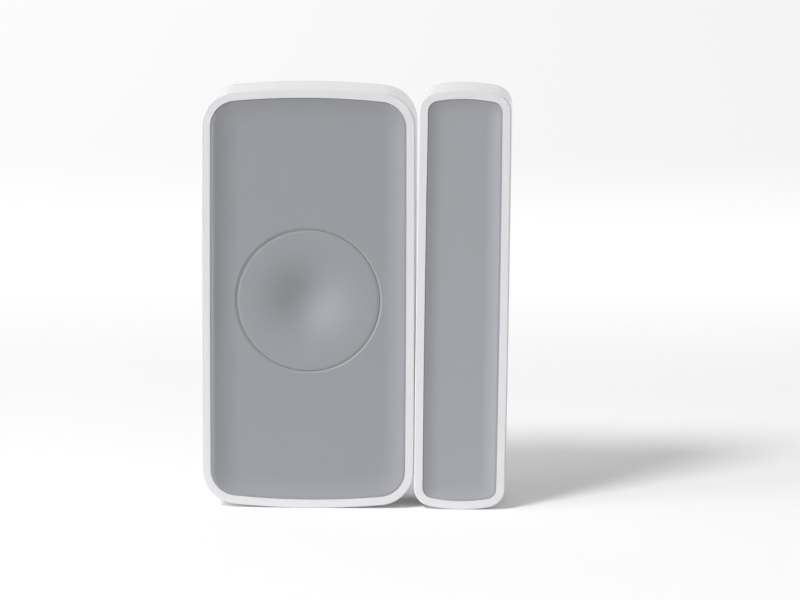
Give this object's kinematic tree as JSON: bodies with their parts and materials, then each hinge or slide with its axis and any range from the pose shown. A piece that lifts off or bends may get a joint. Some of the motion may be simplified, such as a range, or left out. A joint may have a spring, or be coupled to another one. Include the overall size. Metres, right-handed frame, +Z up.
{
  "type": "wireless door sensor",
  "caption": "Wireless door sensor pair: wide sensor unit with a round dimpled push button and a narrow magnet unit, white with grey faces.",
  "frame": {"origin": "middle of the pair's footprint, on the surface that it stands on", "axes": "+Z up along the units, -Y towards the front with the grey faces, +X to the viewer's right, towards the magnet unit"},
  "size_m": [0.0547, 0.0136, 0.075],
  "materials": {
    "white_shell": "fine satin moulded white",
    "grey_face": "soft matte moulded grey",
    "board": "solder-masked laminate",
    "black_plastic": "moulded black",
    "plated_steel": "tin-plated sheet",
    "cell_steel": "bright nickel",
    "reed_glass": "clear green-tinted glass",
    "ceramic_chip": "plain fired",
    "foam": "open foam"
  },
  "bodies": {
    "root": {"sensor_housing": "white_shell", "sensor_front_panel": "grey_face", "sensor_rear_cover": "white_shell", "circuit_board": "board", "board_screws": "plated_steel", "button_switch_body": "black_plastic", "button_switch_pins": "plated_steel", "radio_shield": "plated_steel", "radio_chip": "black_plastic", "microcontroller": "black_plastic", "crystal_can": "plated_steel", "chip_capacitors": "ceramic_chip", "antenna_strip": "plated_steel", "reed_switch_glass": "reed_glass", "reed_switch_leads": "plated_steel", "coin_cell": "cell_steel", "battery_holder": "black_plastic", "battery_positive_contact": "plated_steel", "battery_negative_contact": "plated_steel", "magnet_housing": "white_shell", "magnet_front_panel": "grey_face", "magnet_rear_cover": "white_shell", "bar_magnet": "cell_steel", "magnet_cushion": "foam"},
    "button": {"button_cap": "grey_face", "button_switch_plunger": "black_plastic"}
  },
  "joints": [
    {"name": "button_press", "type": "slide", "parent": "root", "child": "button", "axis": [0, 1, 0], "range_m": [0, 0.0004], "stiffness_N_per_m": 2000}
  ]
}
